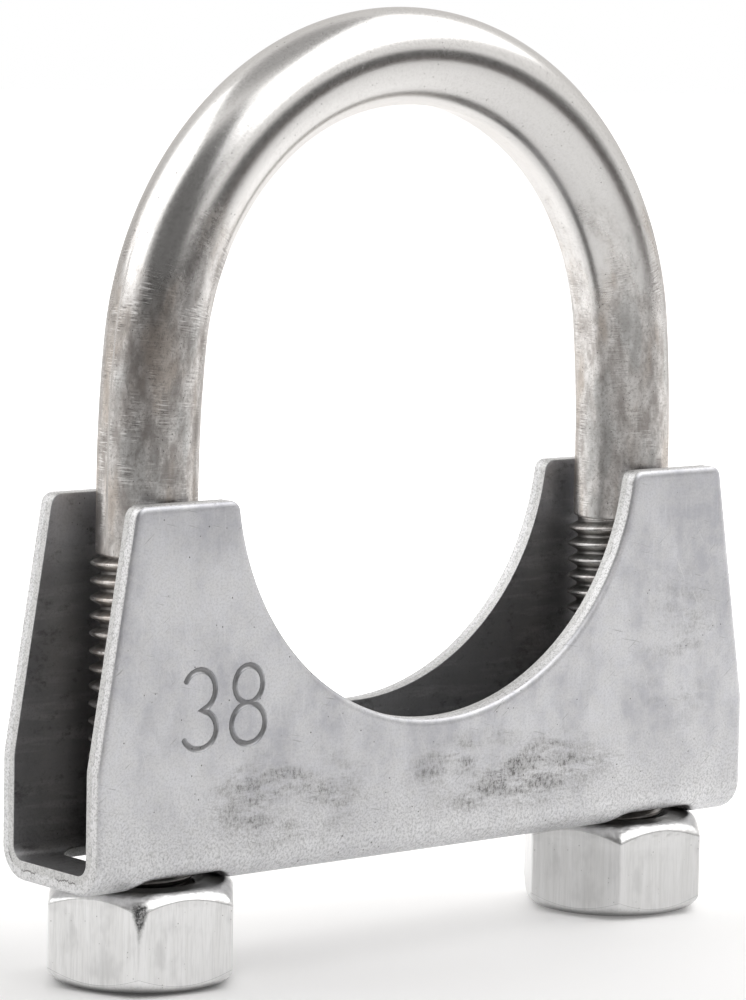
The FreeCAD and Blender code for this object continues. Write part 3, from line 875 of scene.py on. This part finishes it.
def sheet_steel():
    """The saddle's rolled faces: an even satin grey, finely mottled, stained near the bend, with
    painted light and shade: lighter low on the walls, darker towards the tab tops, in the stamped
    grooves and on the inner faces.
    """
    f = Finish("sheet_steel")
    flat = f.attribute("flat")
    x, s, n = f.split(flat)
    side = f.math("ABSOLUTE", s)
    top = to_flat(TAB_Z)
    outer = f.ramp(n, 0.8, 0.4)
    inside = f.ramp(n, 1.0, 1.4)
    low = f.ramp(side, WALL_START + 8.0, WALL_START - 3.0)
    broad = f.noise(flat, (0.16, 0.10, 0.2), 4.0, 0.6)
    cloud = f.noise(flat, 0.75, 4.0, 0.65)
    grain = f.noise(flat, 5.5, 3.0, 0.75)
    brush = f.noise(flat, (4.5, 0.35, 1.0), 2.0, 0.6)

    first, second, third = (f.times(f.patch(x, side, centre, half), strength)
                            for centre, half, strength in SMUDGES)
    smudge = f.math("MAXIMUM", f.math("MAXIMUM", first, second), third)
    smudge = f.times(smudge, f.ramp(f.ramp(s, 0.0, -0.5), 0.0, 1.0, BACK_SMUDGE, 1.0))
    smudge = f.times(smudge, f.ramp(f.noise(flat, (0.14, 0.30, 1.0)), 0.36, 0.56))
    streaky = f.noise(flat, (0.34, 1.1, 1.0), 5.0, 0.75)
    haze = f.times(smudge, f.ramp(streaky, 0.38, 0.60))
    speckle = f.ramp(f.noise(flat, (3.3, 1.5, 1.0), 7.0, 0.9), 0.46, 0.58)
    smudge = f.times(smudge, f.times(f.ramp(streaky, 0.40, 0.60, 0.15, 1.0), speckle))
    hair = f.math("MAXIMUM", f.hairlines(x, s, 14, 2.6, 0.71), f.hairlines(x, s, -38, 2.0, 0.72))
    hair = f.times(f.times(hair, f.ramp(f.noise(flat, 0.21), 0.46, 0.58)), outer)
    shine = f.times(f.hairlines(x, s, 62, 3.0, 0.71), f.ramp(f.noise(flat, 0.18), 0.54, 0.44))
    pits = f.specks(flat, 1.5, 0.12, 0.45)
    dirt = f.times(low, f.ramp(f.noise(flat, 1.5, 6.0, 0.85), 0.50, 0.70))
    pressed = f.times(f.ramp(n, 0.02, 0.13), f.ramp(n, 0.5, 0.3))
    stamped = f.ramp(f.patch(x, s, STAMP_CENTRE, STAMP_HALF), 0.0, 0.3)
    banded = f.times(f.ramp(f.noise(flat, (0.12, 0.85, 0.0), 3.0, 0.7), 0.48, 0.64),
                     f.ramp(grain, 0.30, 0.62, 0.3, 1.0))
    rust = f.ramp(f.noise(flat, (0.5, 0.7, 1.0), 5.0, 0.8), 0.52, 0.70)

    colour = f.mix(f.ramp(broad, 0.37, 0.63), (0.51, 0.515, 0.55), (0.72, 0.725, 0.75))
    colour = f.layers(colour, [
        (f.ramp(cloud, 0.35, 0.65), 0.5, 0.70),
        # painted highlight: the walls are coloured lighter low down, towards the bend
        (low, 0.60, 0.87),
        (f.ramp(grain, 0.60, 0.30), f.ramp(low, 0.0, 1.0, 0.36, 0.80), (0.36, 0.36, 0.375)),
        # painted shade: the walls darken towards the tab tops
        (f.ramp(side, top - 5.5, top - 0.6), 0.20, (0.33, 0.335, 0.37)),
        (f.ramp(brush, 0.55, 0.75), 0.18, (0.86, 0.86, 0.87)),
        (dirt, 0.50, (0.28, 0.28, 0.275)),
        (haze, 0.38, (0.27, 0.265, 0.26)),
        (smudge, 0.92, (0.12, 0.115, 0.11)),
        (hair, 0.38, 0.18),
        (f.times(shine, outer), 0.22, 0.92),
        # painted shade: the grooves of the stamped figures are coloured dark by their depth
        (f.times(pressed, stamped), 0.72, 0.11),
        (pits, 0.85, 0.07),
        # painted shade: the channel's inner faces are coloured darker, more deep in the channel and
        # less near the tab tops
        (inside, f.ramp(side, top - 9.0, top, 0.6, 0.2), (0.30, 0.30, 0.305)),
        (f.times(inside, banded), 0.6, (0.62, 0.62, 0.63)),
        (f.times(inside, rust), 0.55, 0.13),
    ])
    rough = f.plus(f.plus(0.36, f.times(grain, 0.18)), f.times(smudge, 0.15))
    relief = f.plus(f.times(grain, 0.8), f.times(brush, 0.35))
    relief = f.plus(relief, f.times(cloud, 0.8))
    relief = f.minus(relief, f.times(f.plus(pits, hair), 1.6))
    return f.finish(colour, rough, f.bump(relief, 0.010, f.bump(broad, 0.10)))


# the depth of the ragged fracture line in the sheared edge
FRACTURE_DEPTH = 0.86


def sheared_edge():
    """The sheet's cut edge: a burnished band, then granular torn metal below a ragged line."""
    f = Finish("sheet_edge")
    flat = f.attribute("flat")
    _, s, n = f.split(flat)
    grain = f.noise(flat, 6.5, 3.0, 0.75)
    ragged = f.noise(flat, (1.5, 1.5, 0.0), 3.0, 0.7)
    level = f.plus(n, f.times(f.minus(ragged, 0.5), 0.75))
    torn = f.ramp(level, FRACTURE_DEPTH - 0.04, FRACTURE_DEPTH + 0.09)
    line = f.ramp(f.math("ABSOLUTE", f.minus(level, FRACTURE_DEPTH)), 0.085, 0.02)
    broken = f.ramp(f.noise(flat, (0.35, 0.35, 0.0), 1.0), 0.46, 0.58)
    base = f.ramp(f.math("ABSOLUTE", s), WALL_START + 3.0, WALL_START, 0.3, 1.0)
    line = f.times(line, f.times(broken, base))
    colour = f.layers(f.mix(torn, (0.74, 0.74, 0.745), (0.63, 0.63, 0.625)), [
        (f.ramp(grain, 0.56, 0.34), 0.6, 0.22),
        (line, 0.75, (0.12, 0.115, 0.11)),
    ])
    rough = f.plus(0.40, f.times(grain, 0.25))
    return f.finish(colour, rough, f.bump(f.minus(grain, f.times(line, 1.5)), 0.03))


def forged_corner(f, local):
    """A rough corner left by the forging, wide at the chamfer and narrow below: 1 on it."""
    x, y, z = f.split(local)
    corner = NUT_TURN + math.pi
    beside = f.minus(f.times(y, math.cos(corner)), f.times(x, math.sin(corner)))
    outward = f.plus(f.times(x, math.cos(corner)), f.times(y, math.sin(corner)))
    wide = f.times(f.math("POWER", f.ramp(z, 2.4, 6.9), 1.7), 0.75)
    wobble = f.times(f.minus(f.noise(local, 2.2, 3.0, 0.7), 0.5), 0.5)
    inside = f.minus(f.plus(wide, wobble), f.math("ABSOLUTE", beside))
    mark = f.times(f.ramp(inside, -0.12, 0.35), f.ramp(outward, 6.7, 7.15))
    return f.times(mark, f.ramp(z, 2.4, 5.4))


# the left nut has the rough corner; its colour is also lifted as painted light, so that it looks
# more brightly lit than the right one
MARKED_NUT = "left"
MARKED_NUT_PAINTED_LIGHT = 0.13


def nut_steel(side):
    """A nut's bright satin, with upright drawing marks on its sides."""
    f = Finish("nut_steel_" + side)
    local = f.attribute("local")
    x, y, z = f.split(local)
    rim = f.split(f.attribute("rim"))[0]
    distance = f.vector_math("LENGTH", f.join(x, y, 0.0))["Value"]
    grain = f.noise(local, 3.4, 3.0, 0.7)
    cloud = f.noise(local, (0.5, 0.5, 0.28), 3.0, 0.6)
    streak = f.noise(local, (2.3, 2.3, 0.10), 3.0, 0.65)
    fine = f.noise(local, (7.0, 7.0, 0.5), 2.0, 0.6)
    rings = f.noise(f.join(f.times(distance, 6.0), 0.0, 0.0), 1.0, 2.0, 0.6)
    pits = f.specks(local, 2.2, 0.13, 0.46)
    face = f.times(f.ramp(z, NUT_HEIGHT - 0.25, NUT_HEIGHT - 0.05),
                   f.ramp(distance, NUT_FACE_RADIUS + 0.5, NUT_FACE_RADIUS - 0.1))

    # painted light: the marked nut's colour is lifted so that it looks more brightly lit than the
    # other
    painted_lift = MARKED_NUT_PAINTED_LIGHT if side == MARKED_NUT else 0.0
    dark, light = (0.67 + painted_lift, 0.67 + painted_lift, 0.665 + painted_lift), 0.74 + painted_lift
    colour = f.layers(f.mix(f.ramp(streak, 0.3, 0.7), dark, light), [
        (f.ramp(fine, 0.55, 0.35), 0.21, 0.54),
        (f.ramp(cloud, 0.50, 0.28), 0.35, 0.46),
        (pits, 0.7, 0.22),
        # painted shade: the flat top face, which sits under the saddle, is coloured darker
        (face, 0.55, 0.22),
        # painted shade: the countersink and bore are coloured darker towards the thread
        (f.ramp(distance, NUT_SINK_RADIUS + 0.3, NUT_SINK_RADIUS - 0.7), 0.7, 0.14),
        (f.ramp(rim, 0.35, 1.0), 0.5, 0.20),
        # painted shade: the lowest 0.75 mm of the nut darkens towards the floor, as its contact
        # shade and the dark reflection in its lower chamfer
        (f.ramp(z, 0.75, 0.0), 0.75, 0.16),
    ])
    rough = f.plus(0.24, f.times(grain, 0.16))
    relief = f.plus(f.times(streak, 0.7), f.times(fine, 0.25))
    relief = f.plus(relief, f.times(rings, 0.3))
    relief = f.minus(relief, f.times(pits, 2.0))
    # the upper chamfer is slightly hammered
    hammered = f.times(f.noise(local, 1.0, 2.0, 0.6), f.ramp(z, NUT_HEIGHT - 2.0, NUT_HEIGHT - 1.0))
    depth = f.bump(hammered, 0.10, f.bump(relief, 0.008))
    if side == MARKED_NUT:
        mark = forged_corner(f, local)
        coarse = f.noise(local, 4.5, 4.0, 0.8)
        colour = f.mix(mark, colour, f.mix(f.ramp(coarse, 0.42, 0.62), 0.07, 0.45))
        rough = f.plus(rough, f.times(mark, 0.25))
        depth = f.bump(f.times(mark, coarse), 0.09, depth)
    return f.finish(colour, rough, depth)


# -------- studio

# the camera's target in millimetres, its direction from there in degrees and its distance
CAMERA_TARGET = (-2.11, 0.0, BASE_Z + 25.71)
CAMERA_AZIMUTH = -40.05
CAMERA_ELEVATION = 6.375
CAMERA_DISTANCE = 0.3134
CAMERA_ROLL = math.radians(1.13)
CAMERA_LENS = 153.57
CAMERA_SENSOR = 36.0

# azimuth, elevation, distance, width, height, radiance
SOFTBOXES = {
    "softbox_right": (52, 56, 0.62, 0.96, 0.47, 1.33),
    "softbox_right_edge": (-11, 55, 0.62, 0.20, 0.44, 0.72),
    "softbox_left": (-129, 41, 0.62, 0.62, 0.54, 1.24),
}
SOFTBOX_AIM = Vector((0, 0, 0.035))

# the surroundings: radiance at large, then areas of another radiance:
# azimuth, elevation, degrees out to which it is full, degrees out to which it fades, radiance
WORLD_LEVEL = 1.02
WORLD_AREAS = [
    (-50, 30, 24, 47, 0.19),
    (-165, 6, 14, 38, 0.80),
    (150, 74, 10, 32, 0.5),
]
# a dim band round the front: radiance, middle's height, half heights where full and faded
HORIZON_LEVEL = 0.13
HORIZON_MIDDLE = 0.11
HORIZON_FULL = 0.11
HORIZON_FADED = 0.17
HORIZON_AREA = (-20, 0, 70, 95)
WARM_WHITE = (1.0, 0.985, 0.97, 1.0)

FLOOR_HALF = 3.0
FLOOR_DROP = 0.0001
FLOOR_GLOW = 0.65
FLOOR_GLOW_COLOUR = (1.0, 0.985, 0.975, 1.0)
BEHIND_AZIMUTH = 140

# the dark screens: first and last azimuth, lower and upper edge
SCREEN_RADIUS = 0.37
SCREEN_COLOUR = (0.13, 0.115, 0.11)
SCREENS = {
    "dark_screen_left": (-100, -25, 0.0, 0.085),
    "dark_screen_right": (-25, 62, 0.03, 0.085),
}
SCREEN_STEPS = 24
SURROUND_RADIUS = 4.5


def direction(azimuth, elevation):
    """The unit vector at an azimuth from -Y towards +X and an elevation, in degrees."""
    a, e = math.radians(azimuth), math.radians(elevation)
    return Vector((math.sin(a) * math.cos(e), -math.cos(a) * math.cos(e), math.sin(e)))


def set_camera():
    back = direction(CAMERA_AZIMUTH, CAMERA_ELEVATION)
    data = bpy.data.cameras.new("camera")
    data.lens = CAMERA_LENS
    data.sensor_width = CAMERA_SENSOR
    data.clip_start, data.clip_end = 0.01, 20.0
    camera = new_object("camera", data)
    camera.location = Vector(CAMERA_TARGET) * MM + back * CAMERA_DISTANCE
    turned = (-back).to_track_quat("-Z", "Y")
    camera.rotation_mode = "QUATERNION"
    camera.rotation_quaternion = turned @ Quaternion((0, 0, 1), CAMERA_ROLL)
    bpy.context.scene.camera = camera


def softbox(name, azimuth, elevation, distance, width, height, radiance):
    """A rectangular light that faces the object, with the radiance its face shows."""
    data = bpy.data.lights.new(name, "AREA")
    data.shape = "RECTANGLE"
    data.size, data.size_y = width, height
    data.energy = radiance * math.pi * width * height
    light = new_object(name, data)
    out = direction(azimuth, elevation)
    light.location = out * distance + SOFTBOX_AIM
    light.rotation_mode = "QUATERNION"
    light.rotation_quaternion = out.to_track_quat("Z", "Y")
    light.visible_camera = False


def set_world():
    """Pale surroundings, dim at the front left, overhead at the back and along the horizon."""
    world = bpy.data.worlds.new("studio")
    world.use_nodes = True
    n = Nodes(world.node_tree)
    way = n.add("ShaderNodeTexCoord").outputs["Generated"]

    def area(azimuth, elevation, near, far):
        """1 within near degrees of a direction, 0 beyond far degrees."""
        cosine = n.vector_math("DOT_PRODUCT", way, direction(azimuth, elevation))["Value"]
        return n.ramp(cosine, math.cos(math.radians(far)), math.cos(math.radians(near)))

    level = WORLD_LEVEL
    for azimuth, elevation, near, far, radiance in WORLD_AREAS:
        level = n.between(area(azimuth, elevation, near, far), level, radiance)
    off_horizon = n.math("ABSOLUTE", n.minus(n.split(way)[2], HORIZON_MIDDLE))
    band = n.times(n.ramp(off_horizon, HORIZON_FADED, HORIZON_FULL), area(*HORIZON_AREA))
    level = n.between(band, level, HORIZON_LEVEL)
    background = world.node_tree.nodes["Background"]
    world.node_tree.links.new(level, background.inputs["Strength"])
    background.inputs["Color"].default_value = WARM_WHITE
    bpy.context.scene.world = world


def floor_finish():
    """A pale sweep that glows evenly away from the object, so that it meets the backdrop."""
    f = Finish("pale_floor", metallic=0.0)
    soft = f.noise(f.place, 3.0)
    behind = f.vector_math("DOT_PRODUCT", f.place, direction(BEHIND_AZIMUTH, 0))["Value"]
    glow = f.ramp(behind, -0.05, 0.12, 0.0, FLOOR_GLOW)
    f.tree.links.new(glow, f.shader.inputs["Emission Strength"])
    f.shader.inputs["Emission Color"].default_value = FLOOR_GLOW_COLOUR
    colour = f.mix(soft, 0.80, 0.82)
    return f.finish(colour, f.ramp(soft, 0.0, 1.0, 0.6, 0.65), f.bump(soft, 0.001))


def emission(name, colour):
    material = bpy.data.materials.new(name)
    material.use_nodes = True
    n = Nodes(material.node_tree)
    n.tree.nodes.clear()
    n.add("ShaderNodeOutputMaterial", n.add("ShaderNodeEmission", (*colour, 1.0)).outputs[0])
    return material


def stage_piece(name, mesh, material):
    """A piece of the studio, which isn't part of the object."""
    mesh.materials.append(material)
    piece = new_object(name, mesh)
    return piece


def floor():
    corners = [(x * FLOOR_HALF, y * FLOOR_HALF, 0)
               for x, y in ((-1, -1), (1, -1), (1, 1), (-1, 1))]
    mesh = bpy.data.meshes.new("floor")
    mesh.from_pydata(corners, [], [(0, 1, 2, 3)])
    stage_piece("floor", mesh, floor_finish()).location.z = -FLOOR_DROP


def dark_screen(name, start, end, low, high):
    """A low upright screen round part of the object, which only reflections see."""
    points, faces = [], []
    for step in range(SCREEN_STEPS + 1):
        out = direction(start + (end - start) * step / SCREEN_STEPS, 0) * SCREEN_RADIUS
        points += [(out.x, out.y, low), (out.x, out.y, high)]
    for a in range(0, 2 * SCREEN_STEPS, 2):
        faces.append((a, a + 2, a + 3, a + 1))
    mesh = bpy.data.meshes.new(name)
    mesh.from_pydata(points, [], faces)
    wall = stage_piece(name, mesh, emission(name, SCREEN_COLOUR))
    wall.visible_camera = False
    wall.visible_shadow = False
    wall.visible_diffuse = False


def surround():
    """The plain white that the camera sees all round; nothing else sees it."""
    data = bmesh.new()
    bmesh.ops.create_icosphere(data, subdivisions=3, radius=SURROUND_RADIUS)
    mesh = bpy.data.meshes.new("surround")
    data.to_mesh(mesh)
    data.free()
    piece = stage_piece("surround", mesh, emission("surround_white", (1, 1, 1)))
    piece.visible_glossy = False
    piece.visible_diffuse = False
    piece.visible_shadow = False
    piece.visible_transmission = False


def build_stage():
    set_world()
    floor()
    for name, place in SCREENS.items():
        dark_screen(name, *place)
    surround()
    for name, place in SOFTBOXES.items():
        softbox(name, *place)
    bpy.context.scene.view_settings.view_transform = "Standard"


# -------- the object

set_camera()
build_stage()

bolt = make_u_bolt()
bolt.data.materials.append(drawn_steel())
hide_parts("u_bolt")
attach(bolt, "u_bolt")

saddle = make_saddle()
saddle.data.materials.append(sheet_steel())
saddle.data.materials.append(sheared_edge())
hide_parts("saddle")
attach(saddle, "saddle")

for side in SIDES:
    nut = make_nut(side)
    nut.data.materials.append(nut_steel(side))
    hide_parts("nut_" + side)
    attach(nut, "nut_" + side)

bpy.context.view_layer.update()
